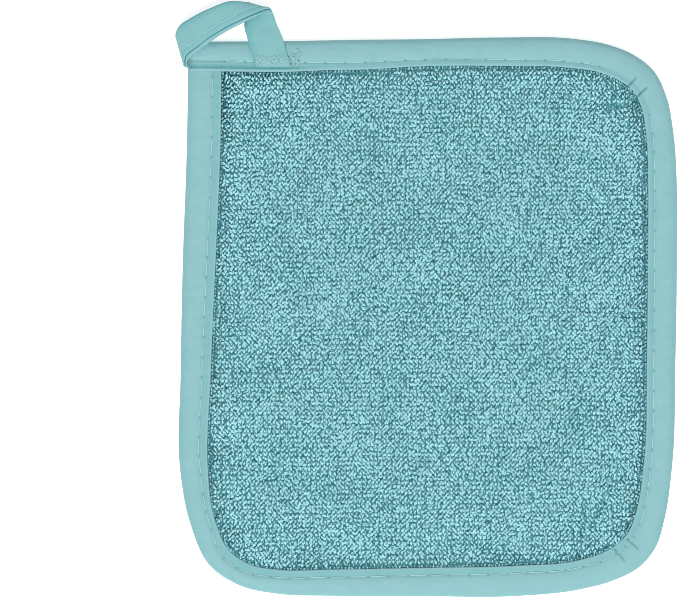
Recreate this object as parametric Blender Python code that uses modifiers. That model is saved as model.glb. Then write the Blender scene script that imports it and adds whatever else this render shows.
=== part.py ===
"""Square terry pot holder with a bound edge and a hanging loop, lying flat on its back.

Sizes are in millimetres, turned into metres by MM. Seen from the front, +X is to the right and +Y is up;
+Z points away from the surface it lies on. The origin is the middle of the whole outline, loop included,
on that surface.
"""
import bpy
import numpy as np

MM = 0.001
COLLECTION = "pot_holder"

# Driving dimensions
PAD_THICKNESS = 7.4  # in the middle, pile included
BOUND_THICKNESS = 7.0  # over both legs of the binding
TAPE_THICKNESS = 1.0  # one leg of the folded tape: its cloth and the turned-in hem
GAP = 0.3  # between pieces sewn to each other
LAYER = TAPE_THICKNESS + GAP
STATION_STEP = 6.5  # between two sections along the edge

# The binding's section
FOLD_DEPTH = 2.2  # how far in from the edge the fold is round
STITCH_INSET = 2.4  # from the inner edge of the tape to its seam
STITCH_GROOVE = 0.3

# The top left corner, where the tape's end covers its beginning and goes on as the loop
BEGINNING_FROM_CORNER = 2.4
TAIL_FROM_CORNER = 2.3
CORNER_RISE = 0.6  # of the covering end over the rest of the binding
PAD_PINCHED = (26.0, 38.0)  # from the corner: pinched up to here, and free from there on
BEGINNING_TUCKED = (11.5, 22.0)
END_RAISED = (14.5, 25.0)

# The pad's section: its thin rim in the binding, and its rise beside it
PAD_RIM = 1.7  # from the outer edge
PAD_RIM_FULL = 3.0
PAD_NOSE = 0.2  # of the rim's thickness, to each side of its middle
PAD_CLEARANCE = 0.35  # from the inner edge of the tape
PAD_SHOULDER = 1.6  # further in, where the pad is as thick as the binding
PAD_SHOULDER_DROP = 0.5
PAD_CROWN = 7.0  # further in, where the pad has its full thickness
PAD_CORNER_CLEAR = 24.0  # from the corner to the next section on each side, so that sections don't cross

# The outer edge, anticlockwise from the top left corner, with the tape's width
EDGE_COLUMNS = ("x", "y", "tape")
EDGE = (
    (-96.3, 104.1, 13.1),
    (-97.1, 58.0, 13.2),
    (-98.6, 16.0, 12.9),
    (-99.5, -30.0, 11.8),
    (-99.7, -69.0, 10.9),
    (-95.7, -90.4, 9.6),
    (-87.4, -108.1, 9.6),
    (-75.1, -116.0, 9.1),
    (-60.0, -119.2, 9.5),
    (-39.0, -120.0, 10.4),
    (0.0, -120.2, 11.3),
    (36.0, -120.1, 12.0),
    (62.0, -117.4, 11.4),
    (75.7, -113.7, 11.8),
    (86.8, -107.7, 12.6),
    (92.9, -99.8, 12.4),
    (96.1, -89.3, 11.6),
    (99.2, -68.0, 11.2),
    (100.6, -25.0, 11.3),
    (101.2, 15.5, 11.5),
    (101.2, 45.0, 11.4),
    (99.6, 68.5, 10.7),
    (97.2, 81.0, 10.6),
    (91.5, 92.6, 11.3),
    (84.1, 98.5, 11.6),
    (72.5, 103.1, 11.4),
    (60.0, 105.2, 11.5),
    (30.0, 105.8, 11.2),
    (-2.0, 105.1, 10.6),
    (-25.0, 104.9, 11.7),
    (-60.0, 104.3, 11.2),
    (-96.3, 104.1, 10.6),
)
EDGE_STEPS = 12  # from one row to the next, to measure along the edge
INNER_CORNER = (-83.2, 93.5)  # where the inner edges of the tape meet at the top left

# The loop, from the binding to its sewn end: the fold of the tape, its open edge midway between the two
# legs, the way the outer leg faces, and how far apart the middles of the legs are. The legs change sides at
# each of two bends.
LOOP_COLUMNS = {"fold": slice(0, 3), "edge": slice(3, 6), "facing": slice(6, 9), "apart": 9}
LOOP = (
    (-94.4, 103.6, 3.8, -94.4, 94.8, 3.8, 0.0, 0.0, -1.0, 6.6),  # leaves the binding
    (-97.2, 104.2, 4.0, -95.9, 94.9, 4.0, -0.2, 0.0, -1.0, 6.4),
    (-99.6, 105.9, 5.3, -96.6, 95.3, 6.2, -0.5, 0.0, -0.9, 4.0),  # bends round the corner
    (-100.2, 107.9, 7.8, -96.5, 96.7, 8.3, -1.0, 0.1, 0.0, 1.9),
    (-99.2, 110.2, 9.8, -95.6, 98.6, 9.6, -0.5, 0.3, 0.9, 1.3),
    (-95.6, 112.6, 10.6, -91.5, 102.7, 9.9, -0.1, 0.1, 1.0, 1.3),  # crosses the corner
    (-87.0, 117.4, 11.5, -81.5, 108.9, 11.0, 0.0, 0.0, 1.0, 1.3),
    (-80.3, 119.6, 11.7, -75.9, 111.9, 11.9, 0.0, 0.1, 1.0, 1.3),
    (-75.4, 119.9, 11.0, -69.3, 114.4, 12.4, 0.1, 0.4, 0.9, 1.3),
    (-72.2, 118.5, 9.9, -63.8, 117.3, 11.3, 0.4, 1.0, 0.2, 1.3),  # bends at the top
    (-72.6, 116.0, 8.8, -62.3, 116.0, 9.2, 0.3, 0.6, -0.8, 1.3),
    (-73.3, 111.9, 8.5, -61.4, 111.7, 8.5, 0.0, 0.0, -1.0, 1.3),  # comes down in front of the edge
    (-72.0, 104.9, 8.5, -59.5, 105.3, 8.5, 0.0, 0.0, -1.0, 1.3),
    (-70.9, 99.0, 8.5, -57.6, 99.5, 8.5, 0.0, 0.0, -1.0, 1.3),
    (-69.6, 94.6, 8.5, -56.2, 95.3, 8.5, 0.0, 0.0, -1.0, 1.3),  # the sewn end
)
LOOP_OVERHANG = 1.8  # of the inner leg, the wider one, beyond the outer leg
LOOP_STEPS = 5  # sections from one row to the next
FOLD_ANGLES = (90, 45, 0, -45, -90)  # of the points on a fold's half round

MATERIALS = {
    "terry_pad": ((0.20, 0.46, 0.50), 0.95),
    "edge_binding": ((0.29, 0.56, 0.59), 0.85),
    "hanging_loop": ((0.29, 0.56, 0.59), 0.85),
}


def smooth(rows, steps):
    """The rows of a table, with steps - 1 more between each two, on a smooth curve through them."""
    rows = np.array(rows, dtype=float)
    span = np.linalg.norm(np.diff(rows, axis=0), axis=1)[:, None]
    slope = np.diff(rows, axis=0) / span
    middle = (slope[:-1] * span[1:] + slope[1:] * span[:-1]) / (span[:-1] + span[1:])
    tangent = np.vstack([slope[:1], middle, slope[-1:]])
    t = (np.arange(steps) / steps)[:, None]
    parts = []
    for i, length in enumerate(span):
        start = (1 + 2 * t) * (1 - t) ** 2 * rows[i] + t * (1 - t) ** 2 * length * tangent[i]
        end = t**2 * (3 - 2 * t) * rows[i + 1] + t**2 * (t - 1) * length * tangent[i + 1]
        parts.append(start + end)
    return np.vstack(parts + [rows[-1:]])


def near_corner(distance, limits):
    """1 up to the first limit from the top left corner, 0 from the second on, a smooth fall between."""
    full, gone = limits
    t = np.clip((gone - distance) / (gone - full), 0, 1)
    return t * t * (3 - 2 * t)


def edge_stations():
    """Even stations on the outer edge, from the tape's beginning to its tail.

    Each is a dict with the point, the direction in towards the pad, the tape's width, and the distance
    from the top left corner, measured along the edge from its start and from its end.
    """
    curve = smooth(EDGE, EDGE_STEPS)
    steps = np.linalg.norm(np.diff(curve[:, :2], axis=0), axis=1)
    along = np.concatenate([[0], np.cumsum(steps)])
    length = along[-1]
    count = round(length / STATION_STEP)
    places = np.linspace(BEGINNING_FROM_CORNER, length - TAIL_FROM_CORNER, count)
    edge = {name: np.interp(places, along, values) for name, values in zip(EDGE_COLUMNS, curve.T)}
    heading = np.stack([np.gradient(edge["x"]), np.gradient(edge["y"])], axis=1)
    heading /= np.linalg.norm(heading, axis=1)[:, None]
    inward = np.stack([-heading[:, 1], heading[:, 0]], axis=1)
    return [
        {
            "point": np.array([edge["x"][i], edge["y"][i]]),
            "inward": inward[i],
            "tape": edge["tape"][i],
            "from_start": places[i],
            "from_end": length - places[i],
        }
        for i in range(count)
    ]


def binding_section(station):
    """The middle of the tape round the edge: (x, y, z) from its front inner edge to its back one."""
    tucked = near_corner(station["from_start"], BEGINNING_TUCKED)
    raised = near_corner(station["from_end"], END_RAISED)
    half = TAPE_THICKNESS / 2
    back = LAYER * tucked + half
    front = BOUND_THICKNESS + (CORNER_RISE - LAYER) * tucked + CORNER_RISE * raised - half
    width = station["tape"]
    path = [(width, front), (width - STITCH_INSET, front - STITCH_GROOVE), (width / 2, front)]
    for angle in np.radians(FOLD_ANGLES):
        inset = half + FOLD_DEPTH * (1 - np.cos(angle))
        path.append((inset, (front + back) / 2 + (front - back) / 2 * np.sin(angle)))
    path += [(width / 2, back), (width, back)]
    return [(*(station["point"] + inset * station["inward"]), z) for inset, z in path]


def pad_station(station):
    """The pad's section: (x, y, z) from its face, round the rim in the binding, to its underside."""
    pinched = near_corner(min(station["from_start"], station["from_end"]), PAD_PINCHED)
    back = LAYER * (1 + pinched)
    front = BOUND_THICKNESS - LAYER - STITCH_GROOVE + (CORNER_RISE - LAYER) * pinched
    middle = (back + front) / 2
    nose = PAD_NOSE * (front - back)
    edge = station["tape"] + PAD_CLEARANCE
    shoulder = edge + PAD_SHOULDER
    path = [
        (edge + PAD_CROWN, PAD_THICKNESS),
        (shoulder, PAD_THICKNESS - PAD_SHOULDER_DROP),
        (edge, front),
        (PAD_RIM_FULL, front),
        (PAD_RIM, middle + nose),
        (PAD_RIM, middle - nose),
        (PAD_RIM_FULL, back),
        (edge, back),
        (shoulder, 0.0),
    ]
    return [(*(station["point"] + inset * station["inward"]), z) for inset, z in path]


def loop_section(row):
    """The middle of the folded tape: (x, y, z) from its outer leg's edge to its inner leg's."""
    fold, edge, facing, apart = (row[columns] for columns in LOOP_COLUMNS.values())
    across = (edge - fold) / np.linalg.norm(edge - fold)
    facing = facing - across * (facing @ across)
    half_apart = facing / np.linalg.norm(facing) * apart / 2
    depth = min(FOLD_DEPTH, apart / 2) * across
    round_end = [fold + (1 - np.cos(a)) * depth + np.sin(a) * half_apart for a in np.radians(FOLD_ANGLES)]
    outer = edge - LOOP_OVERHANG / 2 * across + half_apart
    inner = edge + LOOP_OVERHANG / 2 * across - half_apart
    return [outer, (outer + round_end[0]) / 2, *round_end, (inner + round_end[-1]) / 2, inner]


def loft(name, sections, closed=False):
    """A mesh object through sections of equally many points; a closed one joins up and gets two caps."""
    sections = np.array(sections) * MM
    count, size = sections.shape[:2]
    faces = []
    for i in range(count if closed else count - 1):
        here, there = i * size, (i + 1) % count * size
        faces += [(here + j, here + j + 1, there + j + 1, there + j) for j in range(size - 1)]
    if closed:
        faces.append([i * size for i in range(count)])
        faces.append([i * size + size - 1 for i in reversed(range(count))])
    mesh = bpy.data.meshes.new(name)
    mesh.from_pydata(sections.reshape(-1, 3).tolist(), [], faces)
    mesh.validate()
    thing = bpy.data.objects.new(name, mesh)
    bpy.data.collections[COLLECTION].objects.link(thing)
    color, roughness = MATERIALS[name]
    material = bpy.data.materials.new(name)
    material.use_nodes = True
    shader = material.node_tree.nodes["Principled BSDF"]
    shader.inputs["Base Color"].default_value = (*color, 1.0)
    shader.inputs["Roughness"].default_value = roughness
    shader.inputs["Metallic"].default_value = 0.0
    mesh.materials.append(material)
    return thing


def thicken(sheet):
    """Makes a sheet of tape as thick as one leg of it."""
    solidify = sheet.modifiers.new("thickness", "SOLIDIFY")
    solidify.thickness = TAPE_THICKNESS * MM
    solidify.offset = 0.0
    solidify.use_even_offset = True
    solidify.use_quality_normals = True


def make_terry_pad(stations):
    """Both terry faces and what lies between them, as one pad whose rim lies in the binding."""
    corner = np.array(EDGE[0][:2])
    inner_corner = np.array(INNER_CORNER)
    tape = EDGE[-1][2]
    corner_station = {
        "point": corner,
        "inward": (inner_corner - corner) / tape,
        "tape": tape,
        "from_start": 0.0,
        "from_end": 0.0,
    }
    kept = [s for s in stations if min(s["from_start"], s["from_end"]) > PAD_CORNER_CLEAR]
    loft("terry_pad", [pad_station(s) for s in [corner_station, *kept]], closed=True)


def make_edge_binding(stations):
    """One tape, folded over the edge all the way round and covering its own beginning."""
    thicken(loft("edge_binding", [binding_section(s) for s in stations]))


def make_hanging_loop():
    """The tail of the tape, folded double, bent over twice and sewn down in front of the edge."""
    thicken(loft("hanging_loop", [loop_section(row) for row in smooth(LOOP, LOOP_STEPS)]))


def main():
    for thing in list(bpy.data.objects):
        bpy.data.objects.remove(thing)
    collection = bpy.data.collections.new(COLLECTION)
    bpy.context.scene.collection.children.link(collection)
    stations = edge_stations()
    make_terry_pad(stations)
    make_edge_binding(stations)
    make_hanging_loop()


main()
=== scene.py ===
"""Dresses the pot holder: terry loops on both faces, the folded and sewn binding, and its hanging loop.

Sizes are in millimetres, turned into metres by MM, in the frame of the part: +X is to the right and +Y is up,
seen from the front, and +Z points away from the surface it lies on.
"""

import bpy
import numpy as np
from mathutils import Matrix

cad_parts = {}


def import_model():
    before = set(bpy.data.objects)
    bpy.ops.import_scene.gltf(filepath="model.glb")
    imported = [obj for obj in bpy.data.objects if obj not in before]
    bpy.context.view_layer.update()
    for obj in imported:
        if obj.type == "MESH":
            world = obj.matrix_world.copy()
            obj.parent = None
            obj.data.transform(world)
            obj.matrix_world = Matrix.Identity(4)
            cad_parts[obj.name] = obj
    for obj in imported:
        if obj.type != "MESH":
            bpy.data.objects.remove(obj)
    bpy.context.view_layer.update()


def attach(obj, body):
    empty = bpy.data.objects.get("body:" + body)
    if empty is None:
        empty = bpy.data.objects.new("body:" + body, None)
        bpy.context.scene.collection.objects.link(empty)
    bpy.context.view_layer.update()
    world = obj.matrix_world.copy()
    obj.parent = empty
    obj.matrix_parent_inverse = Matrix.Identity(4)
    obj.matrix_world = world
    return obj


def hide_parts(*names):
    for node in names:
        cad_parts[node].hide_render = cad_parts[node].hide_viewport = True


MM = 0.001
BODY = "root"

# The picture
PICTURE_SIZE = (679, 599)
MM_PER_PIXEL = 0.4043
PICTURE_ORIGIN = (426.7, 299.1)  # the pixel over the part's origin
CAMERA_HEIGHT = 3000.0
OUTLINE_HEIGHT = 3.5  # the height that the scale holds for
SENSOR = 36.0
PIXEL_FILTER = 0.9  # how wide, in pixels, each pixel looks
FLOOR_SIZE = 6.0  # in metres
FLOOR_DROP = 0.05  # under the part, so that no two faces share a plane
KEY_LIGHT = {"place": (-0.12, -1.5, 3.75), "size": 1.75, "power": 148.0}  # in metres and watts
SKY_STRENGTH = 0.45

# The part's own sizes
PAD_THICKNESS = 7.4
BOUND_THICKNESS = 7.0
LAYER = 1.3
FOLD_DEPTH = 2.2
CORNER_RISE = 0.6
BEGINNING_FROM_CORNER = 2.4
TAIL_FROM_CORNER = 0.6
BEGINNING_TUCKED = (11.5, 22.0)  # from the corner: in full up to the first, and gone at the second
END_RAISED = (14.5, 25.0)  # likewise
PAD_PINCHED = (26.0, 38.0)  # likewise
PAD_CORNER_CLEAR = 24.0
PAD_RIM = (3.0, 1.8)  # in from the edge: where the pad's rim begins to round off, and where it ends
PAD_SLOPE = (1.0, 7.0)  # in from the binding: where the pad's face begins to rise, and where it is level
INNER_CORNER = (-83.2, 93.5)

# The outer edge, anticlockwise from the top left corner, with the tape's width
EDGE_COLUMNS = ("x", "y", "tape")
EDGE = (
    (-96.3, 104.1, 13.1),
    (-97.1, 58.0, 13.2),
    (-98.6, 16.0, 12.9),
    (-99.5, -30.0, 11.8),
    (-99.7, -69.0, 10.9),
    (-95.7, -90.4, 9.6),
    (-87.4, -108.1, 9.6),
    (-75.1, -116.0, 9.1),
    (-60.0, -119.2, 9.5),
    (-39.0, -120.0, 10.4),
    (0.0, -120.2, 11.3),
    (36.0, -120.1, 12.0),
    (62.0, -117.4, 11.4),
    (75.7, -113.7, 11.8),
    (86.8, -107.7, 12.6),
    (92.9, -99.8, 12.4),
    (96.1, -89.3, 11.6),
    (99.2, -68.0, 11.2),
    (100.6, -25.0, 11.3),
    (101.2, 15.5, 11.5),
    (101.2, 45.0, 11.4),
    (99.6, 68.5, 10.7),
    (97.2, 81.0, 10.6),
    (91.5, 92.6, 11.3),
    (84.1, 98.5, 11.6),
    (72.5, 103.1, 11.4),
    (60.0, 105.2, 11.5),
    (30.0, 105.8, 11.2),
    (-2.0, 105.1, 10.6),
    (-25.0, 104.9, 11.7),
    (-60.0, 104.3, 11.2),
    (-96.3, 104.1, 10.6),
)
EDGE_STEPS = 12
STATION_STEP = 1.6
FINE_STEP = 0.3
FINE_REACH = 3.0  # how far on either side of a crease the fine steps go

# The loop: the fold of the tape, its open edge midway between the two legs, the way the outer leg faces, how
# far apart the middles of the legs are, how much wider the inner leg is, and how thick each leg is
LOOP_COLUMNS = {
    "fold": slice(0, 3), "edge": slice(3, 6), "facing": slice(6, 9), "apart": 9, "overhang": 10, "thick": 11,
}
LOOP = (
    (-93.4, 103.5, 3.8, -93.4, 94.8, 3.8, 0.0, 0.0, -1.0, 5.6, 0.6, 0.8),  # inside the binding's end
    (-95.0, 103.6, 3.8, -95.0, 94.6, 3.8, 0.0, 0.0, -1.0, 5.8, 0.6, 0.8),  # leaves it
    (-97.6, 104.3, 4.1, -96.6, 94.4, 4.1, -0.2, 0.0, -1.0, 5.2, 0.6, 0.8),
    (-99.8, 105.9, 5.4, -97.1, 94.0, 6.0, -0.5, 0.0, -0.9, 3.4, 0.6, 0.8),  # bends round the corner
    (-100.5, 107.7, 7.8, -97.5, 94.3, 8.2, -1.0, 0.1, 0.0, 1.6, 1.0, 0.8),
    (-99.6, 109.9, 9.8, -97.2, 97.2, 9.6, -0.5, 0.3, 0.9, 1.0, 1.8, 0.8),
    (-95.6, 112.7, 10.6, -92.0, 101.9, 9.9, -0.1, 0.1, 1.0, 0.95, 1.9, 0.8),  # crosses the corner
    (-86.9, 117.1, 11.5, -82.3, 108.5, 11.0, 0.0, 0.0, 1.0, 0.95, 1.8, 0.8),
    (-79.6, 119.7, 11.7, -75.1, 112.2, 11.9, 0.0, 0.1, 1.0, 0.95, 1.6, 0.8),
    (-74.6, 119.6, 11.1, -69.2, 114.9, 12.3, 0.1, 0.4, 0.9, 0.95, 1.2, 0.8),
    (-71.2, 118.2, 9.9, -63.8, 116.9, 11.1, 0.4, 1.0, 0.2, 0.95, 0.3, 0.8),  # bends at the top
    (-72.3, 115.6, 8.8, -62.5, 115.3, 9.2, 0.3, 0.6, -0.8, 0.95, 0.3, 0.8),
    (-73.3, 111.9, 8.4, -61.8, 112.0, 8.4, 0.0, 0.0, -1.0, 0.95, 0.8, 0.8),  # comes down in front of the edge
    (-72.0, 104.9, 8.1, -58.7, 105.0, 8.1, 0.0, 0.0, -1.0, 0.8, 0.6, 0.7),
    (-70.4, 98.9, 7.68, -57.1, 99.2, 7.68, 0.0, 0.0, -1.0, 0.6, 0.6, 0.55),
    (-69.1, 93.75, 7.2, -55.4, 93.8, 7.2, 0.0, 0.0, -1.0, 0.5, 0.6, 0.45),  # the sewn end
)
LOOP_SEAM = {
    "inset": 2.2,
    "groove": 0.25,
    "from_row": 5.2,
    "to_row": 9.4,
    "rise": 1.3,  # of the stitches' middle over the groove, in thread radii
    "start": 0.5,
}
LOOP_STEPS = 9
BAND_ROWS = (8, 10)  # between them the crossing band's lower edge shades the sewn leg
BELOW_BAND_ROW = 11
EDGE_APART = 1.0  # the most that the legs are apart at their edges
OUTER_INSETS = (0.0, 0.5, 1.1)  # the sections' first points, in from the outer leg's edge
INNER_INSETS = (0.0, 0.35, 0.7, 1.05, 1.4, 1.8)  # and from the inner leg's
LOOP_SEAM_POINTS = (-0.6, -0.3, 0.0, 0.3, 0.6)  # and on both sides of the seam

# How pale the loop is (a little darker than the binding, though it is the same tape), with painted shade at
# its fold, a painted shadow just beyond the outer leg's edge and a painted highlight further out, and a
# painted shadow under the band
LOOP_SHADE = 0.36
LOOP_FOLD_SHADE = {"darker": 0.3, "width": 1.6}
LOOP_UNDER_SHADE = {"darker": 0.9, "gone": 1.1, "fall": 0.6}
LOOP_SHOWN_SHADE = {"paler": 0.25, "from": 0.7, "rise": 0.4}
BAND_SHADE = {"darker": 0.45, "reach": 2.2}

# The zigzag that holds the loop's end
TACK = {
    "left": -69.0,
    "right": -51.2,
    "radius": 0.2,
    "leg_left": -70.0,
    "leg_right": -55.9,
    "on_leg": (0.45, 0.55),  # how high it lies over the middle of the loop's last row, and of the one before
    "on_binding": -0.1,
    "pitches": (0.8, 0.76, 0.84, 1.2),
    "rows": ((94.2, 95.5), (95.4, 96.8), (96.7, 98.1), (95.0, 97.4)),
    "jitter": (0.2, 0.45),  # along a row and across it
    "lift": (0.05, 0.06),  # of the first row over the cloth, and of each over the one before
    "arch": 0.15,
}

# The curls of its loose thread: x, y, size, and where each starts
CURLS = (
    (-52.6, 99.6, 1.0, 200.0),
    (-51.4, 98.2, 0.8, 20.0),
    (-53.6, 98.4, 0.9, 120.0),
    (-51.9, 96.6, 0.7, 60.0),
)
CURL = {"points": 12, "turn": 4.6, "stretch": 1.4, "level": 0.1, "arch": 0.5}

# The tape and its seam
TAPE_THICKNESS = 0.8
HEM_THICKNESS = 0.95
HEM_POINTS = 3  # of a section, over which the hem thins out to the tape
LIP = 0.9  # how far the tape's inner edge turns out from its last fold, near its end
LIP_FROM_END = (36.0, 60.0)
LIP_GROOVE = 0.3
FOLD_ANGLES = np.radians(np.linspace(90, -90, 9))
SEAM_PITCH = 8.1
SEAM_START = 14.0  # along the edge, from the corner
SEAM_GROOVE = 0.32
STITCH_SUNK = 0.6  # of a stitch at its ends
STITCH_POINTS = 13
STITCH_SPAN = (0.03, 0.94)  # where a stitch begins, and its length, in pitches
THREAD_SIDES = 5
SEAM_HALF_WIDTH = 0.5
NEEDLE_DIP = 0.3
NEEDLE_HALF_WIDTH = 0.45
THREAD_RADIUS = 0.23
TAPE_CROWN = 0.45  # how much higher the tape is midway than beside its seam and its fold
SEAM_INSET = (  # along the edge, and in from the inner edge
    (0.0, 3.2),
    (165.0, 3.1),
    (187.0, 2.1),
    (203.0, 2.1),
    (214.0, 3.3),
    (240.0, 2.7),
    (640.0, 2.1),
    (740.0, 2.6),
    (790.0, 3.0),
)
SEAM_HIDDEN = (  # round the top right corner: places along the edge, and how much is hidden at each
    (580.0, 590.0, 614.0, 624.0),
    (0.0, 1.0, 1.0, 0.0),
)
LIP_INSETS = (0.0, 0.45, 0.9)  # the sections' first points, in from the inner edge
SEAM_POINTS = (-1.1, -0.6, -0.3, 0.0, 0.3, 0.6)  # and on both sides of the seam
TAPE_RIPPLES = ((26.0, 0.12), (7.0, 0.05))  # length and height

# How pale the tape is, and its painted shade and highlights: painted shade on the rounded outer fold (rim),
# between the seam and the inner edge, in creases and in needle holes, a painted highlight on the lip with a
# painted shadow line in its groove, and a painted highlight along the inner edge
TAPE_SHADE = 0.59
RIM_SHADE = {"darker": 0.22, "width": 2.2}
INSIDE_SEAM_SHADE = {"darker": 0.26, "blend": 0.6}
CREASE_SHADE = 0.5
NEEDLE_SHADE = 0.4
LIP_SHADES = (0.0, -0.15, 0.45)
INNER_EDGE_SHADE = -0.35

# Creases in the tape and in the pile: from x, y to x, y, with depth and half width
CREASE_COLUMNS = ("x0", "y0", "x1", "y1", "depth", "half_width")
TAPE_CREASES = (
    (81.0, 85.6, 84.3, 89.3, 1.0, 0.34),
    (84.8, 81.8, 88.9, 85.6, 1.1, 0.36),
    (80.9, -96.7, 85.5, -100.8, 0.8, 0.35),
    (75.8, -100.8, 79.9, -105.4, 0.8, 0.35),
)
PILE_CREASES = (
    (76.9, 84.9, 74.5, 80.5, 0.75, 0.5),
    (74.5, 80.5, 73.7, 76.0, 0.6, 0.5),
    (67.0, 78.7, 73.6, 78.4, 0.5, 0.6),
    (73.8, 76.3, 86.4, 81.2, 0.5, 0.5),
    (75.3, 77.8, 87.0, 78.1, 0.45, 0.5),
    (61.6, -102.2, 63.7, -88.1, 0.5, 0.5),
    (63.7, -88.1, 63.7, -80.4, 0.5, 0.5),
    (65.9, -92.5, 69.5, -83.9, 0.55, 0.5),
    (69.5, -83.9, 75.2, -75.3, 0.45, 0.5),
)

# The pile
PILE_PITCH = (1.72, 1.88)  # across the rows and from row to row
BACK_PITCH = (2.5, 2.7)
BORDER_PITCH = 1.5
BORDER_SPREAD = 0.3  # of the loops beside the binding, in from it
BORDER_CLEAR = 0.6  # from them to the next loops, in pitches
SECOND_LOOPS = (0.5, 0.4)  # where the low loops stand between the others, in pitches
PILE_JITTER = 0.28
PILE_DRIFT = (45.0, 0.6)  # how long and how far the rows swing from their lines
PILE_DEPTH = 1.6  # from the ground to the tops of its loops
PILE_BURIED = 0.4
PAD_LEVEL = {1: PAD_THICKNESS, -1: 0.0}  # of each face
PILE_EDGE_GAP = 0.85  # from the binding's inner edge to the middle of the first loops
PILE_HEADING = np.radians(85.0)
PILE_TURN = {"drift": np.radians(25.0), "length": 14.0, "spread": np.radians(32.0)}
PILE_SPAN = (0.12, 0.36)
PILE_RADIUS = (0.62, 0.82)
# Painted shade in the grooves of the yarn's twist, and painted highlight on its plies
PLY_SHADE = 0.2  # how much paler the plies are than the grooves between them
FIRST_ROW = 0.4  # how much lower the row beside the binding is
LOW_ROW = 0.29  # how much lower every second row is
PILE_RISE = (-0.25, 0.15)  # of single loops over the rest
PILE_EDGE_FALL = (0.2, 7.0)  # how much lower the pile is at the binding, and how far in that reaches
BACK_RISE = (0.02, 0.4)  # of single loops on the back over the surface that the part lies on
PILE_TINT = 0.06
LOOP_BULGE = {"power": 0.8, "wider": 0.3}  # how full a loop's arch is, and how much wider at its top
PILE_LEAN = {"along": 0.25, "sideways": (0.0, 0.3)}
# Painted shade on the yarn: the deeper a point lies under the pad's face, the darker it is painted, and the
# tops the palest
SHADE_DEPTHS = (-0.1, 0.3, 1.0, 1.5)  # under the pad's face
SHADES = (0.71, 0.64, 0.56, -0.25)  # how pale the yarn is at each of them
PILE_TWIST = 1.8  # turns of the yarn from foot to foot
PLIES = 2
PILE_RIPPLES = ((28.0, 0.08), (6.0, 0.07))  # length and height
PILE_ARCH = np.radians((3.0, 50.0, 90.0, 130.0, 177.0))
BACK_ARCH = np.radians((0.0, 60.0, 120.0, 180.0))
YARN_SIDES = 3
WAVES = 14
CHUNKS = 40  # in which distances are worked out, to save memory

# Where each random series starts
SEEDS = {
    "front_places": 5,
    "front_tops": 6,
    "front_loops": 7,
    "back_places": 15,
    "back_tops": 16,
    "back_loops": 17,
    "tack": 31,
    "pile_ripples": 40,
    "tape_ripples": 60,
}

# Colours, as linear light
# The tape's colour ramp, which the painted shade moves along; its darkest stop serves the painted shadow
# lines
TAPE_COLORS = (
    (0.050, 0.240, 0.300),
    (0.145, 0.384, 0.396),
    (0.188, 0.418, 0.436),
    (0.227, 0.448, 0.472),
    (0.258, 0.477, 0.506),
)
THREAD_COLOR = (0.36, 0.63, 0.64)
# The yarn's ramp, from the painted shade deep between the loops to the painted highlight on the tops and
# plies
PILE_COLORS = ((0.02, 0.15, 0.18), (0.37, 0.78, 0.86), (0.59, 0.93, 0.98))
# Darker than the yarn: painted shade down between the loops
GROUND_COLORS = ((0.02, 0.14, 0.16), (0.07, 0.27, 0.30), (0.14, 0.39, 0.43))
FLOOR_COLOR = (0.75, 0.75, 0.75)
FLOOR_GLOW = 0.62
TAPE_MOTTLE = 0.45
THREAD_DARKER = 0.85


def unit(vectors):
    return vectors / np.linalg.norm(vectors, axis=-1, keepdims=True)


def ease(t):
    """A smooth rise from 0 at 0 to 1 at 1."""
    t = np.clip(t, 0, 1)
    return t * t * (3 - 2 * t)


def smooth(rows, steps):
    """The rows of a table, with steps - 1 more between each two, on a smooth curve through them."""
    rows = np.array(rows, dtype=float)
    span = np.linalg.norm(np.diff(rows, axis=0), axis=1)[:, None]
    slope = np.diff(rows, axis=0) / span
    middle = (slope[:-1] * span[1:] + slope[1:] * span[:-1]) / (span[:-1] + span[1:])
    tangent = np.vstack([slope[:1], middle, slope[-1:]])
    t = (np.arange(steps) / steps)[:, None]
    parts = []
    for i, length in enumerate(span):
        start = (1 + 2 * t) * (1 - t) ** 2 * rows[i] + t * (1 - t) ** 2 * length * tangent[i]
        end = t**2 * (3 - 2 * t) * rows[i + 1] + t**2 * (t - 1) * length * tangent[i + 1]
        parts.append(start + end)
    return np.vstack(parts + [rows[-1:]])


def near_corner(distance, limits):
    """1 up to the first limit from the top left corner, 0 from the second on, and a smooth fall between."""
    full, gone = limits
    return ease((gone - distance) / (gone - full))


def ripple(points, length, seed):
    """Smooth random heights, mostly from -1 to 1, at points (n, 2), in waves of about this length."""
    rng = np.random.default_rng(seed)
    turn = rng.uniform(0, 2 * np.pi, WAVES)
    pace = 2 * np.pi / (length * rng.uniform(0.7, 1.5, WAVES))
    start = rng.uniform(0, 2 * np.pi, WAVES)
    heading = np.stack([np.cos(turn), np.sin(turn)]) * pace
    return np.cos(points @ heading + start).sum(axis=1) / np.sqrt(2 * WAVES)


def ripples(points, table, seed):
    """Several ripples together, from a table of their lengths and heights."""
    return sum(height * ripple(points, length, seed + i) for i, (length, height) in enumerate(table))


def run_along(points):
    """How far along the line through them each of the points is."""
    return np.concatenate([[0], np.cumsum(np.linalg.norm(np.diff(points, axis=0), axis=1))])


def crease_depth(points, rows):
    """How far down the creases of a table press each of the points (n, 2)."""
    depth = np.zeros(len(points))
    for row in rows:
        crease = dict(zip(CREASE_COLUMNS, row))
        start = np.array([crease["x0"], crease["y0"]])
        run = np.array([crease["x1"], crease["y1"]]) - start
        t = np.clip((points - start) @ run / (run @ run), 0, 1)
        off = np.linalg.norm(points - start - t[:, None] * run, axis=1)
        depth += crease["depth"] * np.exp(-((off / crease["half_width"]) ** 2))
    return depth


# ---------------------------------------------------------------- the edge


def edge_line():
    """The outer edge, closely spaced: how far along it each point is, and its x, y and tape width."""
    curve = smooth(EDGE, EDGE_STEPS)
    return run_along(curve[:, :2]), curve


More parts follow.
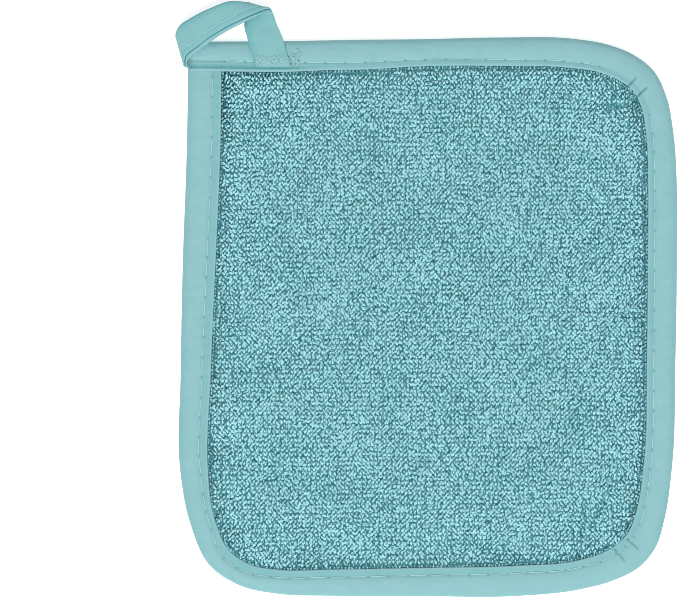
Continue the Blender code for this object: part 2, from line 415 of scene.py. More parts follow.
def edge_at(places):
    """The edge at places along it, as a dict of arrays."""
    along, curve = edge_line()
    edge = {name: np.interp(places, along, values) for name, values in zip(EDGE_COLUMNS, curve.T)}
    before, after = places - STATION_STEP, places + STATION_STEP
    heading = unit(
        np.stack([np.interp(after, along, c) - np.interp(before, along, c) for c in curve.T[:2]], axis=1)
    )
    inset_along, inset = np.array(SEAM_INSET).T
    return {
        "point": np.stack([edge["x"], edge["y"]], axis=1),
        "heading": heading,
        "inward": np.stack([-heading[:, 1], heading[:, 0]], axis=1),
        "tape": edge["tape"],
        "from_start": places,
        "from_end": along[-1] - places,
        "seam": np.interp(places, inset_along, inset),
        "shown": 1 - np.interp(places, *SEAM_HIDDEN),
    }


def edge_stations(step):
    """The edge from the tape's beginning to its tail, in even steps."""
    length = edge_line()[0][-1]
    count = round(length / step)
    return edge_at(np.linspace(BEGINNING_FROM_CORNER, length - TAIL_FROM_CORNER, count))


def binding_stations():
    """The edge in even steps, with finer ones at the needle holes and across the creases."""
    along, curve = edge_line()
    count = round(along[-1] / STATION_STEP)
    places = [np.linspace(BEGINNING_FROM_CORNER, along[-1] - TAIL_FROM_CORNER, count)]
    places += [needle_places() + step * NEEDLE_HALF_WIDTH for step in (-1, 0, 1)]
    for row in TAPE_CREASES:
        ends = np.array(row[:4]).reshape(2, 2)
        near = [along[np.linalg.norm(curve[:, :2] - end, axis=1).argmin()] for end in ends]
        places.append(np.arange(min(near) - FINE_REACH, max(near) + FINE_REACH, FINE_STEP))
    return edge_at(np.unique(np.concatenate(places).round(2)))


def tape_levels(edge):
    """The height of the tape's outer face on the front and on the back."""
    tucked = near_corner(edge["from_start"], BEGINNING_TUCKED)
    raised = near_corner(edge["from_end"], END_RAISED)
    front = BOUND_THICKNESS + (CORNER_RISE - LAYER) * tucked + CORNER_RISE * raised
    return front, LAYER * tucked


def needle_places():
    length = edge_line()[0][-1]
    return np.arange(SEAM_START, length - SEAM_START, SEAM_PITCH)


# ---------------------------------------------------------------- meshes


def grid_faces(rows, columns, rows_join=False, columns_join=True):
    """Quads over a grid of points, numbered row by row."""
    i = np.arange(rows if rows_join else rows - 1)[:, None]
    j = np.arange(columns if columns_join else columns - 1)[None]
    here, there = i * columns, (i + 1) % rows * columns
    after = (j + 1) % columns
    return np.stack([here + j, here + after, there + after, there + j], axis=-1).reshape(-1, 4)


def make_piece(name, points, faces, material, sheet_map=None, shade=None, twist=None):
    """A smooth mesh piece from points in millimetres, riding on the body."""
    mesh = bpy.data.meshes.new(name)
    mesh.from_pydata(points * MM, [], faces)
    mesh.shade_smooth()
    if sheet_map is not None:
        corners = np.array([loop.vertex_index for loop in mesh.loops])
        layer = mesh.uv_layers.new(name="cloth")
        layer.data.foreach_set("uv", (sheet_map[corners] * MM).ravel())
    if shade is not None:
        layer = mesh.attributes.new("shade", "FLOAT", "POINT")
        layer.data.foreach_set("value", shade.astype(np.float32))
    if twist is not None:
        layer = mesh.attributes.new("twist", "FLOAT", "CORNER")
        layer.data.foreach_set("value", twist.astype(np.float32))
    mesh.materials.append(material)
    piece = bpy.data.objects.new(name, mesh)
    bpy.context.scene.collection.objects.link(piece)
    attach(piece, BODY)
    return piece


def tape_skin(middle, heading, thickness):
    """The outline round a tape's middle line (n, 3), where the tape runs along heading."""
    tangent = unit(np.gradient(middle, axis=0))
    normal = unit(np.cross(tangent, heading))
    half = thickness[:, None] / 2
    turn = np.radians((50.0, 0.0, -50.0))[:, None]
    end = middle[-1] + half[-1] * (np.cos(turn) * tangent[-1] + np.sin(turn) * normal[-1])
    start = middle[0] + half[0] * (-np.cos(turn) * tangent[0] - np.sin(turn) * normal[0])
    return np.vstack([middle + half * normal, end, (middle - half * normal)[::-1], start])


def skin_map(middle, along):
    """Where each point of tape_skin lies on the flat tape."""
    across = run_along(middle)
    ends = np.full(3, across[-1]), np.zeros(3)
    v = np.concatenate([across, ends[0], across[::-1], ends[1]])
    return np.stack([np.full(len(v), along), v], axis=1)


def sweep(name, skins, maps, shades, material):
    """A tape through its outlines, closed at both cut ends."""
    count, size = skins.shape[:2]
    faces = grid_faces(count, size).tolist()
    faces += [list(range(size))[::-1], list(range((count - 1) * size, count * size))]
    sheet_map, shade = np.reshape(maps, (-1, 2)), np.ravel(shades)
    return make_piece(name, skins.reshape(-1, 3), faces, material, sheet_map=sheet_map, shade=shade)


def skin_shade(depth):
    """What a value along a tape's middle line is at each point of tape_skin."""
    return np.concatenate([depth, np.full(3, depth[-1]), depth[::-1], np.full(3, depth[0])])


def tubes(paths, radii, across, sides):
    """Points and faces of n closed tubes.

    The paths are (n, rings, 3), the radii (n,), and across (n, 3) points out of the plane of each one's bend.
    """
    count, rings = paths.shape[:2]
    tangent = unit(np.gradient(paths, axis=1))
    level = across[:, None] - (across[:, None] * tangent).sum(axis=-1, keepdims=True) * tangent
    level = unit(level)[:, :, None]
    rise = np.cross(tangent, level[:, :, 0])[:, :, None]
    turn = np.pi / 2 + np.linspace(0, 2 * np.pi, sides, endpoint=False)[:, None]
    points = paths[:, :, None] + radii[:, None, None, None] * (np.cos(turn) * level + np.sin(turn) * rise)
    first = np.arange(count)[:, None, None] * rings * sides
    walls = (grid_faces(rings, sides)[None] + first).reshape(-1, 4)
    ring = np.arange(sides)[None, None]
    ends = np.concatenate([ring[:, :, ::-1] + first, ring + (rings - 1) * sides + first]).reshape(-1, sides)
    return points.reshape(-1, 3), walls.tolist() + ends.tolist()


def yarn_twist(count, rings, sides, turns):
    """For each corner of the faces of tubes, how far the yarn's plies have turned there."""
    row, side = np.arange(rings - 1)[:, None], np.arange(sides)[None]
    around = np.stack([side, side + 1, side + 1, side], axis=-1) / sides + 0 * row[:, :, None]
    along = np.stack([row, row, row + 1, row + 1], axis=-1) / (rings - 1) + 0 * side[:, :, None]
    walls = np.tile((around + turns * along).ravel(), count)
    return np.concatenate([walls, np.zeros(2 * count * sides)])


# ---------------------------------------------------------------- materials


def new_material(name, roughness, sheen):
    """A cloth material: its node tree and its shader node."""
    material = bpy.data.materials.new(name)
    material.use_nodes = True
    shader = material.node_tree.nodes["Principled BSDF"]
    shader.inputs["Roughness"].default_value = roughness
    shader.inputs["Specular IOR Level"].default_value = 0.2
    shader.inputs["Sheen Weight"].default_value = sheen
    shader.inputs["Sheen Roughness"].default_value = 0.5
    return material, material.node_tree, shader


def add_node(tree, kind, **values):
    node = tree.nodes.new(kind)
    for name, value in values.items():
        if name in node.inputs:
            node.inputs[name].default_value = value
        else:
            setattr(node, name, value)
    return node


def add_ramp(tree, factor, colors):
    """Evenly spaced colours along a factor from 0 to 1."""
    ramp = tree.nodes.new("ShaderNodeValToRGB")
    stops = ramp.color_ramp.elements
    while len(stops) < len(colors):
        stops.new(0.5)
    for i, color in enumerate(colors):
        stops[i].position = i / (len(colors) - 1)
        stops[i].color = (*color, 1.0)
    tree.links.new(factor, ramp.inputs["Fac"])
    return ramp.outputs["Color"]


def add_bump(tree, shader, height, distance, strength):
    bump = add_node(tree, "ShaderNodeBump", Strength=strength, Distance=distance)
    tree.links.new(height, bump.inputs["Height"])
    tree.links.new(bump.outputs["Normal"], shader.inputs["Normal"])


def tape_material():
    """Plain woven cotton: mottled colour with the painted shade and highlights of the shade attribute, and
    threads 0.45 mm apart both ways.
    """
    material, tree, shader = new_material("cotton_tape", roughness=0.85, sheen=0.15)
    spot = add_node(tree, "ShaderNodeTexCoord")
    mottle = add_node(tree, "ShaderNodeTexNoise", Scale=160.0, Detail=5.0, Roughness=0.65)
    tree.links.new(spot.outputs["Object"], mottle.inputs["Vector"])
    # The painted shade and highlights that each tape piece carries
    shade = add_node(tree, "ShaderNodeAttribute", attribute_name="shade")
    level = add_node(tree, "ShaderNodeMath", operation="MULTIPLY_ADD")
    tree.links.new(mottle.outputs["Fac"], level.inputs[0])
    level.inputs[1].default_value = TAPE_MOTTLE
    tree.links.new(shade.outputs["Fac"], level.inputs[2])
    tree.links.new(add_ramp(tree, level.outputs["Value"], TAPE_COLORS), shader.inputs["Base Color"])
    cloth = add_node(tree, "ShaderNodeUVMap", uv_map="cloth")
    threads = []
    for direction in ("X", "Y"):
        wave = add_node(tree, "ShaderNodeTexWave", bands_direction=direction, Scale=700.0, Distortion=0.6)
        tree.links.new(cloth.outputs["UV"], wave.inputs["Vector"])
        threads.append(wave.outputs["Fac"])
    woven = add_node(tree, "ShaderNodeMath", operation="MULTIPLY")
    for i, thread in enumerate(threads):
        tree.links.new(thread, woven.inputs[i])
    add_bump(tree, shader, woven.outputs["Value"], distance=0.00008, strength=0.5)
    return material


def thread_material():
    material, tree, shader = new_material("sewing_thread", roughness=0.55, sheen=0.2)
    spot = add_node(tree, "ShaderNodeTexCoord")
    fibres = add_node(tree, "ShaderNodeTexNoise", Scale=2600.0, Detail=2.0)
    tree.links.new(spot.outputs["Object"], fibres.inputs["Vector"])
    darker = tuple(THREAD_DARKER * c for c in THREAD_COLOR)
    tree.links.new(add_ramp(tree, fibres.outputs["Fac"], (darker, THREAD_COLOR)), shader.inputs["Base Color"])
    add_bump(tree, shader, fibres.outputs["Fac"], distance=0.00006, strength=0.4)
    return material


def pile_material():
    """Soft two-ply cotton yarn, with painted shade: darker down between the loops, and in the grooves of its
    twist, with a painted highlight on its plies.
    """
    material, tree, shader = new_material("terry_yarn", roughness=0.9, sheen=0.2)
    shade = add_node(tree, "ShaderNodeAttribute", attribute_name="shade")
    twist = add_node(tree, "ShaderNodeAttribute", attribute_name="twist")
    # Painted highlight on the plies and painted shade in the grooves between them
    turn = add_node(tree, "ShaderNodeMath", operation="MULTIPLY")
    tree.links.new(twist.outputs["Fac"], turn.inputs[0])
    turn.inputs[1].default_value = PLIES * 2 * np.pi
    plies = add_node(tree, "ShaderNodeMath", operation="SINE")
    tree.links.new(turn.outputs["Value"], plies.inputs[0])
    paler = add_node(tree, "ShaderNodeMath", operation="MULTIPLY_ADD")
    tree.links.new(plies.outputs["Value"], paler.inputs[0])
    paler.inputs[1].default_value = PLY_SHADE
    tree.links.new(shade.outputs["Fac"], paler.inputs[2])
    tree.links.new(add_ramp(tree, paler.outputs["Value"], PILE_COLORS), shader.inputs["Base Color"])
    add_bump(tree, shader, plies.outputs["Value"], distance=0.00012, strength=0.7)
    return material


def ground_material():
    """What shows between the loops: the cloth that they stand in, painted with lower loops and with deep
    painted shade.
    """
    material, tree, shader = new_material("terry_ground", roughness=0.95, sheen=0.1)
    spot = add_node(tree, "ShaderNodeTexCoord")
    curls = add_node(tree, "ShaderNodeTexNoise", Scale=650.0, Detail=2.0, Roughness=0.4, Distortion=0.8)
    tree.links.new(spot.outputs["Object"], curls.inputs["Vector"])
    level = add_node(tree, "ShaderNodeMapRange")
    level.inputs["From Min"].default_value = 0.3
    level.inputs["From Max"].default_value = 0.7
    tree.links.new(curls.outputs["Fac"], level.inputs["Value"])
    tree.links.new(add_ramp(tree, level.outputs["Result"], GROUND_COLORS), shader.inputs["Base Color"])
    add_bump(tree, shader, level.outputs["Result"], distance=0.0008, strength=0.8)
    return material


# ---------------------------------------------------------------- the pad


def make_ground(material):
    """The pad without its pile, with its rim in the binding."""
    edge = edge_stations(STATION_STEP * 4)
    kept = np.minimum(edge["from_start"], edge["from_end"]) > PAD_CORNER_CLEAR
    corner, inner = np.array(EDGE[0][:2]), np.array(INNER_CORNER)
    tape = EDGE[-1][2]
    points = np.vstack([corner, edge["point"][kept]])
    inward = np.vstack([(inner - corner) / tape, edge["inward"][kept]])
    widths = np.concatenate([[tape], edge["tape"][kept]])
    from_corner = np.concatenate([[0], np.minimum(edge["from_start"], edge["from_end"])[kept]])
    pinched = near_corner(from_corner, PAD_PINCHED)
    low = LAYER * (1 + pinched)
    high = BOUND_THICKNESS - LAYER - SEAM_GROOVE - (LAYER - CORNER_RISE) * pinched
    top, bottom = PAD_THICKNESS - PILE_DEPTH, PILE_DEPTH
    rounded, rim = (np.full_like(low, inset) for inset in PAD_RIM)
    rising, level = (widths + inset for inset in PAD_SLOPE)
    path = (
        (level, np.full_like(low, top)),
        (rising, np.minimum(high, top)),
        (rounded, high),
        (rim, high * 0.6 + low * 0.4),
        (rim, high * 0.4 + low * 0.6),
        (rounded, low),
        (rising, np.maximum(low, bottom)),
        (level, np.full_like(low, bottom)),
    )
    sections = np.stack(
        [np.column_stack([points + inset[:, None] * inward, height]) for inset, height in path], axis=1
    )
    count, size = sections.shape[:2]
    faces = grid_faces(count, size, rows_join=True, columns_join=False).tolist()
    faces.append([i * size for i in range(count)])
    faces.append([i * size + size - 1 for i in reversed(range(count))])
    return make_piece("terry_ground", sections.reshape(-1, 3), faces, material)


def inner_edge():
    """The binding's inner edge, as points and the ways in from them, without what the corner hides."""
    edge = edge_stations(BORDER_PITCH)
    width = edge["tape"] + LIP * near_corner(edge["from_end"], LIP_FROM_END)
    points = edge["point"] + width[:, None] * edge["inward"]
    corner, inner = EDGE[0], INNER_CORNER
    shown = (edge["from_start"] > corner[1] - inner[1]) & (edge["from_end"] > inner[0] - corner[0])
    return points[shown], edge["inward"][shown]


def distance_in(points, border, inward):
    """How far each point (n, 2) is inside a border."""
    found = []
    for chunk in np.array_split(points, CHUNKS):
        nearest = ((chunk[:, None] - border[None]) ** 2).sum(axis=-1).argmin(axis=1)
        found.append(((chunk - border[nearest]) * inward[nearest]).sum(axis=-1))
    return np.concatenate(found)


def pile_places(pitch, seed):
    """The middles of the pile's loops, how far in from the binding each is, and which are in the low rows."""
    rng = np.random.default_rng(seed)
    border, inward = inner_edge()
    low, high = border.min(axis=0), border.max(axis=0)
    x, y = np.meshgrid(np.arange(low[0], high[0], pitch[0]), np.arange(low[1], high[1], pitch[1]))
    places = np.stack([x.ravel(), y.ravel()], axis=1)
    places = np.vstack([places, places + np.array(pitch) * SECOND_LOOPS])
    low_row = np.repeat((0.0, 1.0), len(x.ravel()))
    length, reach = PILE_DRIFT
    places += reach * np.stack([ripple(places, length, seed + 1), ripple(places, length, seed + 2)], axis=1)
    places += rng.uniform(-PILE_JITTER, PILE_JITTER, places.shape)
    inside = distance_in(places, border, inward)
    kept = inside > PILE_EDGE_GAP + BORDER_CLEAR * pitch[0]
    first = border + rng.uniform(PILE_EDGE_GAP, PILE_EDGE_GAP + BORDER_SPREAD, (len(border), 1)) * inward
    inside = np.concatenate([np.full(len(first), PILE_EDGE_GAP), inside[kept]])
    return np.vstack([first, places[kept]]), inside, np.concatenate([np.zeros(len(first)), low_row[kept]])


def make_pile(name, places, tops, facing, arch, pieces, material, seed):
    """Loops of yarn that stand on one face of the pad, in several pieces."""
    rng = np.random.default_rng(seed)
    count = len(places)
    heading = PILE_HEADING + PILE_TURN["drift"] * ripple(places, PILE_TURN["length"], seed + 1)
    heading += rng.normal(0, PILE_TURN["spread"], count)
    span = rng.uniform(*PILE_SPAN, count)
    radius = rng.uniform(*PILE_RADIUS, count)
    flat = np.stack([np.cos(heading), np.sin(heading)], axis=1)
    side = np.stack([-flat[:, 1], flat[:, 0]], axis=1)
    lean = rng.uniform(-PILE_LEAN["along"], PILE_LEAN["along"], count)[:, None] * flat
    lean += (rng.uniform(*PILE_LEAN["sideways"], count) * rng.choice((-1, 1), count))[:, None] * side
    height = np.sin(arch)[None] ** LOOP_BULGE["power"]
    run = -np.cos(arch)[None] * span[:, None] * (1 + LOOP_BULGE["wider"] * height)
    plane = places[:, None] + run[:, :, None] * flat[:, None] + lean[:, None] * height[:, :, None] ** 2
    foot = tops - facing * (PILE_DEPTH + PILE_BURIED)
    level = foot[:, None] + (tops - facing * radius - foot)[:, None] * height
    paths = np.concatenate([plane, level[:, :, None]], axis=2)
    across = np.column_stack([side, np.zeros(count)])
    tint = rng.normal(0, PILE_TINT, count)
    for i, chosen in enumerate(np.array_split(np.argsort(places[:, 1]), pieces)):
        points, faces = tubes(paths[chosen], radius[chosen], across[chosen], YARN_SIDES)
        # Painted shade by depth under the pad's face, plus a random tint for each loop
        under = facing * (PAD_LEVEL[facing] - points[:, 2])
        shades = np.interp(under, SHADE_DEPTHS, SHADES) + np.repeat(tint[chosen], len(arch) * YARN_SIDES)
        twist = yarn_twist(len(chosen), len(arch), YARN_SIDES, PILE_TWIST)
        make_piece(f"{name}_{i + 1}", points, faces, material, shade=shades, twist=twist)


def make_front_pile(material):
    places, inside, low_row = pile_places(PILE_PITCH, SEEDS["front_places"])
    rng = np.random.default_rng(SEEDS["front_tops"])
    fall, reach = PILE_EDGE_FALL
    tops = PAD_THICKNESS - fall * (1 - ease(inside / reach)) - crease_depth(places, PILE_CREASES)
    tops -= FIRST_ROW * (inside <= PILE_EDGE_GAP)
    tops += ripples(places, PILE_RIPPLES, SEEDS["pile_ripples"])
    tops += rng.uniform(*PILE_RISE, len(places)) - LOW_ROW * low_row
    make_pile(
        "terry_front",
        places,
        tops,
        facing=1,
        arch=PILE_ARCH,
        pieces=4,
        material=material,
        seed=SEEDS["front_loops"],
    )


def make_back_pile(material):
    places, _, _ = pile_places(BACK_PITCH, SEEDS["back_places"])
    rng = np.random.default_rng(SEEDS["back_tops"])
    tops = rng.uniform(*BACK_RISE, len(places))
    make_pile(
        "terry_back",
        places,
        tops,
        facing=-1,
        arch=BACK_ARCH,
        pieces=2,
        material=material,
        seed=SEEDS["back_loops"],
    )


# ---------------------------------------------------------------- the binding


def binding_middle(tape, seam, front, back):
    """One section of the tape's middle: insets from the edge and heights, from the front inner edge round."""
    half = TAPE_THICKNESS / 2
    fold = half + FOLD_DEPTH
    near = tape - np.concatenate([LIP_INSETS, seam + np.array(SEAM_POINTS)])
    far = np.linspace(tape - seam - 1.2, fold, 7, endpoint=False)
    upper = np.concatenate([near, far])
    bend = half + FOLD_DEPTH * (1 - np.cos(FOLD_ANGLES))
    insets = np.concatenate([upper, bend, [tape / 2, tape - 1, tape]])
    share = np.clip((upper - fold) / (tape - seam - fold), 0, 1)
    crown = TAPE_CROWN * (2 * share - 1) ** 2
    middle, rise = (front - TAPE_CROWN + back) / 2, (front - TAPE_CROWN - back) / 2 - half
    lower = np.full(3, back + half)
    heights = np.concatenate([front - half - crown, middle + rise * np.sin(FOLD_ANGLES), lower])
    return insets, heights, len(upper)


def make_binding(material):
    """One tape, folded over the edge all the way round and covering its own beginning."""
    edge = binding_stations()
    fronts, backs = tape_levels(edge)
    needles = needle_places()
    lips = near_corner(edge["from_end"], LIP_FROM_END)
    skins, maps, shades = [], [], []
    for i, along in enumerate(edge["from_start"]):
        lip, shown = lips[i], edge["shown"][i]
        tape, seam = edge["tape"][i] + LIP * lip, edge["seam"][i] + LIP * lip
        insets, heights, upper = binding_middle(tape, seam, fronts[i], backs[i])
        flat = edge["point"][i] + insets[:, None] * edge["inward"][i]
        on_front = np.zeros(len(insets))
        on_front[:upper] = ease((insets[:upper] - FOLD_DEPTH) / 3)
        from_seam = tape - insets - seam
        needle = shown * np.exp(-((np.abs(needles - along).min() / NEEDLE_HALF_WIDTH) ** 2))
        in_seam = np.exp(-((from_seam / SEAM_HALF_WIDTH) ** 2))
        creased = crease_depth(flat, TAPE_CREASES)
        press = (SEAM_GROOVE * shown + NEEDLE_DIP * needle) * in_seam + creased
        press[2] += LIP_GROOVE * lip
        press -= ripples(flat, TAPE_RIPPLES, SEEDS["tape_ripples"])
        middle = np.column_stack([flat, heights - on_front * press])
        hem = ease(1 - np.minimum(np.arange(len(insets)), HEM_POINTS) / HEM_POINTS)
        thickness = TAPE_THICKNESS + (HEM_THICKNESS - TAPE_THICKNESS) * hem
        skins.append(tape_skin(middle, np.append(edge["heading"][i], 0.0), thickness))
        maps.append(skin_map(middle, along))
        # Painted shade: darker on the rounded outer fold, between the seam and the inner edge, in creases, in
        # needle holes and in the lip's groove; painted highlight on the lip and along the inner edge
        inside_seam = ease(-from_seam / INSIDE_SEAM_SHADE["blend"] + 0.5)
        deep = RIM_SHADE["darker"] * np.exp(-((insets / RIM_SHADE["width"]) ** 2))
        deep = deep + INSIDE_SEAM_SHADE["darker"] * inside_seam
        deep += CREASE_SHADE * creased + NEEDLE_SHADE * needle * in_seam
        deep[: len(LIP_SHADES)] += lip * np.array(LIP_SHADES)
        deep[0] += INNER_EDGE_SHADE
        shades.append(skin_shade(TAPE_SHADE - deep))
    return sweep("binding_tape", np.array(skins), maps, shades, material)


def make_stitches(name, starts, place_at, material):
    """Stitches from needle hole to needle hole: place_at gives the points at places along the seam."""
    t = np.linspace(0, 1, STITCH_POINTS)
    begin, span = STITCH_SPAN
    places = starts[:, None] + SEAM_PITCH * (begin + span * t)
    points = place_at(places.ravel())
    points[:, 2] -= np.tile(STITCH_SUNK * np.abs(2 * t - 1) ** 4, len(places))
    up = np.tile([0.0, 0.0, 1.0], (len(places), 1))
    radii = np.full(len(places), THREAD_RADIUS)
    points, faces = tubes(points.reshape(len(places), len(t), 3), radii, up, THREAD_SIDES)
    return make_piece(name, points, faces, material)


def seam_points(places):
    """Where the binding's stitches lie on its front."""
    edge = edge_at(places)
    front, _ = tape_levels(edge)
    flat = edge["point"] + (edge["tape"] - edge["seam"])[:, None] * edge["inward"]
    risen = ripples(flat, TAPE_RIPPLES, SEEDS["tape_ripples"])
    sunk = TAPE_CROWN + SEAM_GROOVE + crease_depth(flat, TAPE_CREASES)
    return np.column_stack([flat, front + risen - sunk + THREAD_RADIUS])


# ---------------------------------------------------------------- the hanging loop


def loop_frame(row):
    """One section of the loop: the row's values by name, with directions across the tape and out of it."""
    frame = {name: row[columns] for name, columns in LOOP_COLUMNS.items()}
    across = unit(frame["edge"] - frame["fold"])
    facing = frame["facing"] - across * (frame["facing"] @ across)
    return {**frame, "across": across, "facing": unit(facing)}


def loop_middle(frame):
    """One section of the tape's middle, from its outer leg's edge to its inner leg's."""
    fold, edge, across = frame["fold"], frame["edge"], frame["across"]
    half_apart = frame["facing"] * frame["apart"] / 2
    depth = min(FOLD_DEPTH, frame["apart"] / 2) * across
    bend = [fold + (1 - np.cos(a)) * depth + np.sin(a) * half_apart for a in FOLD_ANGLES]
    half_open = frame["facing"] * min(frame["apart"], EDGE_APART) / 2
    outer = edge - frame["overhang"] / 2 * across + half_open
    inner = edge + frame["overhang"] / 2 * across - half_open
    seam = LOOP_SEAM["inset"]
    near = np.concatenate([OUTER_INSETS, seam + np.array(LOOP_SEAM_POINTS)])
    far = np.linspace(seam + 1.2, np.linalg.norm(bend[0] - outer), 5, endpoint=False)
    insets = np.concatenate([near, far])[:, None]
    groove = LOOP_SEAM["groove"] * np.exp(-(((insets - seam) / SEAM_HALF_WIDTH) ** 2))
    first = outer + insets * unit(bend[0] - outer) - groove * frame["facing"]
    far = np.linspace(2.5, np.linalg.norm(bend[-1] - inner), 4, endpoint=False)
    last = inner + np.concatenate([INNER_INSETS, far])[:, None] * unit(bend[-1] - inner)
    return np.vstack([first, bend, last[::-1]])


def make_loop(material):
    """The tail of the tape, folded double, bent over twice and sewn down in front of the edge."""
    frames = [loop_frame(row) for row in smooth(LOOP, LOOP_STEPS)]
    middles = np.array([loop_middle(frame) for frame in frames])
    centres = middles.mean(axis=1)
    headings = unit(np.gradient(centres, axis=0))
    along = run_along(centres)
    band = np.array([LOOP[row][3:5] for row in BAND_ROWS])
    crossing, down = band[0], unit(np.array([band[1, 1] - band[0, 1], band[0, 0] - band[1, 0]]))
    below_band = along[BELOW_BAND_ROW * LOOP_STEPS]
    skins, maps, shades = [], [], []
    for frame, middle, heading, place in zip(frames, middles, headings, along):
        skins.append(tape_skin(middle, heading, np.full(len(middle), frame["thick"])))
        maps.append(skin_map(middle, place))
        # Painted shadow just beyond the outer leg's edge and painted highlight further out, on upward-facing
        # sections only; painted shade at the fold
        from_fold = (middle - frame["fold"]) @ frame["across"]
        under = from_fold - from_fold[0]
        covered = ease((LOOP_UNDER_SHADE["gone"] - under) / LOOP_UNDER_SHADE["fall"])
        uncovered = ease((under - LOOP_SHOWN_SHADE["from"]) / LOOP_SHOWN_SHADE["rise"])
        shadow = -LOOP_UNDER_SHADE["darker"] * covered + LOOP_SHOWN_SHADE["paler"] * uncovered
        shadow[: len(middle) // 2] = 0
        at_fold = LOOP_FOLD_SHADE["darker"] * np.exp(-((from_fold / LOOP_FOLD_SHADE["width"]) ** 2))
        shade = LOOP_SHADE - at_fold + shadow * max(frame["facing"][2], 0)
        # Painted shadow of the crossing band on the sewn leg below it
        if place > below_band:
            below = np.maximum((middle[:, :2] - crossing) @ down, 0)
            shade = shade - BAND_SHADE["darker"] * np.exp(-below / BAND_SHADE["reach"])
        shades.append(skin_shade(shade))
    return sweep("loop_tape", np.array(skins), maps, shades, material)


def make_loop_seam(material):
    """The stitches along the loop's open edge, where it crosses the corner."""
    rows = smooth(LOOP, LOOP_STEPS)
    shown = slice(round(LOOP_SEAM["from_row"] * LOOP_STEPS), round(LOOP_SEAM["to_row"] * LOOP_STEPS))
    line = []
    for row in rows[shown]:
        frame = loop_frame(row)
        surface = (min(frame["apart"], EDGE_APART) + frame["thick"]) / 2
        rise = surface - LOOP_SEAM["groove"] + LOOP_SEAM["rise"] * THREAD_RADIUS
        inset = frame["overhang"] / 2 + LOOP_SEAM["inset"]
        line.append(frame["edge"] - inset * frame["across"] + rise * frame["facing"])
    line = np.array(line)
    along = run_along(line)
    starts = np.arange(LOOP_SEAM["start"], along[-1] - SEAM_PITCH, SEAM_PITCH)

    def place_at(places):
        return np.stack([np.interp(places, along, values) for values in line.T], axis=1)

    return make_stitches("loop_seam", starts, place_at, material)


def tack_level(x, y):
    """The height of what the bar tack lies on: the loop's end, and the binding beside it."""
    on_leg = (x > TACK["leg_left"]) & (x < TACK["leg_right"])
    last, before = TACK["on_leg"]
    leg = np.interp(y, (LOOP[-1][1], LOOP[-2][1]), (LOOP[-1][2] + last, LOOP[-2][2] + before))
    return np.where(on_leg, leg, BOUND_THICKNESS + TACK["on_binding"])


def make_bar_tack(material):
    """The dense zigzag that holds the loop's end down, and the curls of its loose thread."""
    rng = np.random.default_rng(SEEDS["tack"])
    jitter_along, jitter_across = TACK["jitter"]
    lift, more = TACK["lift"]
    paths = []
    for i, pitch in enumerate(TACK["pitches"]):
        x = np.arange(TACK["left"], TACK["right"], pitch)
        x = x + rng.uniform(-jitter_along, jitter_along, len(x))
        low, high = TACK["rows"][i]
        y = np.where(np.arange(len(x)) % 2 == 0, low, high)
        y = y + rng.uniform(-jitter_across, jitter_across, len(x))
        points = np.column_stack([x, y, tack_level(x, y) + lift + more * i])
        path = np.empty((2 * len(x) - 1, 3))
        path[::2] = points
        path[1::2] = (points[1:] + points[:-1]) / 2 + np.array([0.0, 0.0, TACK["arch"]])
        paths.append(path)
    for x, y, size, start in CURLS:
        t = np.linspace(0, 1, CURL["points"])
        angle = np.radians(start) + CURL["turn"] * t
        flat = np.stack([x + size * np.cos(angle), y + CURL["stretch"] * size * np.sin(angle)], axis=1)
        height = BOUND_THICKNESS + CURL["level"] + CURL["arch"] * np.sin(np.pi * t)
        paths.append(np.column_stack([flat, height]))
    radius, up = np.array([TACK["radius"]]), np.array([[0.0, 0.0, 1.0]])
    points, faces, first = [], [], 0
    for path in paths:
        ring_points, ring_faces = tubes(path[None], radius, up, THREAD_SIDES)
        points.append(ring_points)
        faces += [[first + corner for corner in face] for face in ring_faces]
        first += len(ring_points)
    return make_piece("loop_tack", np.vstack(points), faces, material)


# ---------------------------------------------------------------- the studio


def make_camera():
    """Straight down from far above, so that the frame is the photograph's."""
    wide, high = PICTURE_SIZE
    camera = bpy.data.cameras.new("camera")
    camera.sensor_width = SENSOR
    camera.lens = SENSOR * (CAMERA_HEIGHT - OUTLINE_HEIGHT) / (wide * MM_PER_PIXEL)
    thing = bpy.data.objects.new("camera", camera)
    x = (wide / 2 - PICTURE_ORIGIN[0]) * MM_PER_PIXEL
    y = (PICTURE_ORIGIN[1] - high / 2) * MM_PER_PIXEL
    thing.location = (x * MM, y * MM, CAMERA_HEIGHT * MM)
    bpy.context.scene.collection.objects.link(thing)
    bpy.context.scene.camera = thing


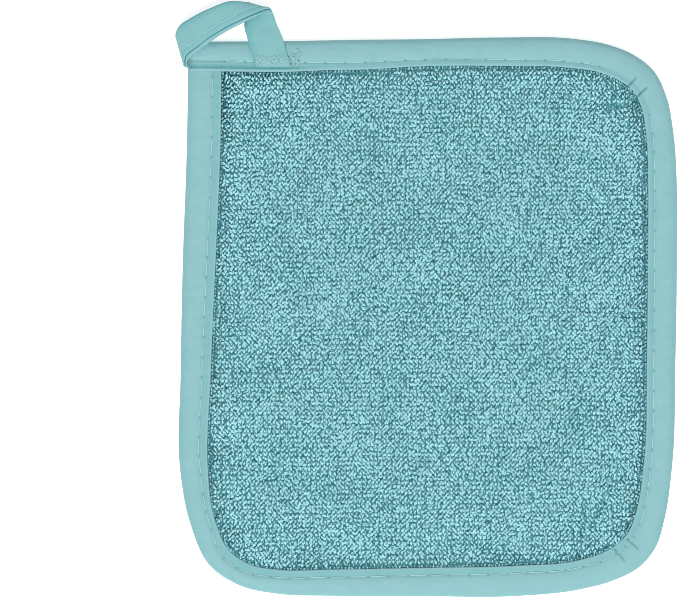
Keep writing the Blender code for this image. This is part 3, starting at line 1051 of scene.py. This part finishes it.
def make_floor():
    half = FLOOR_SIZE / 2
    mesh = bpy.data.meshes.new("floor")
    corners = [(-half, -half, 0.0), (half, -half, 0.0), (half, half, 0.0), (-half, half, 0.0)]
    mesh.from_pydata(corners, [], [(0, 1, 2, 3)])
    material = bpy.data.materials.new("floor")
    material.use_nodes = True
    shader = material.node_tree.nodes["Principled BSDF"]
    shader.inputs["Base Color"].default_value = (*FLOOR_COLOR, 1.0)
    shader.inputs["Roughness"].default_value = 0.9
    shader.inputs["Specular IOR Level"].default_value = 0.0
    shader.inputs["Emission Color"].default_value = (1.0, 1.0, 1.0, 1.0)
    shader.inputs["Emission Strength"].default_value = FLOOR_GLOW
    mesh.materials.append(material)
    floor = bpy.data.objects.new("floor", mesh)
    floor.location.z = -FLOOR_DROP * MM
    bpy.context.scene.collection.objects.link(floor)


def make_lights():
    """A soft key light from below the picture, under a plain white sky."""
    light = bpy.data.lights.new("key", "AREA")
    light.size = KEY_LIGHT["size"]
    light.energy = KEY_LIGHT["power"]
    key = bpy.data.objects.new("key", light)
    key.location = KEY_LIGHT["place"]
    key.rotation_euler = key.location.to_track_quat("Z", "Y").to_euler()
    bpy.context.scene.collection.objects.link(key)
    world = bpy.data.worlds.new("sky")
    world.use_nodes = True
    world.node_tree.nodes["Background"].inputs["Color"].default_value = (1.0, 1.0, 1.0, 1.0)
    world.node_tree.nodes["Background"].inputs["Strength"].default_value = SKY_STRENGTH
    bpy.context.scene.world = world
    bpy.context.scene.view_settings.view_transform = "Standard"
    bpy.context.scene.cycles.filter_width = PIXEL_FILTER


def main():
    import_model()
    make_camera()
    make_floor()
    make_lights()
    yarn, tape, thread = pile_material(), tape_material(), thread_material()
    ground = make_ground(ground_material())
    make_front_pile(yarn)
    make_back_pile(yarn)
    binding = make_binding(tape)
    holes = needle_places()[:-1]
    shown = edge_at(holes + SEAM_PITCH / 2)["shown"] > 0.5
    seam = make_stitches("binding_seam", holes[shown], seam_points, thread)
    loop = make_loop(tape)
    loop_seam = make_loop_seam(thread)
    tack = make_bar_tack(thread)
    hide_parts("terry_pad")
    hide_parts("edge_binding")
    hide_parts("hanging_loop")


main()
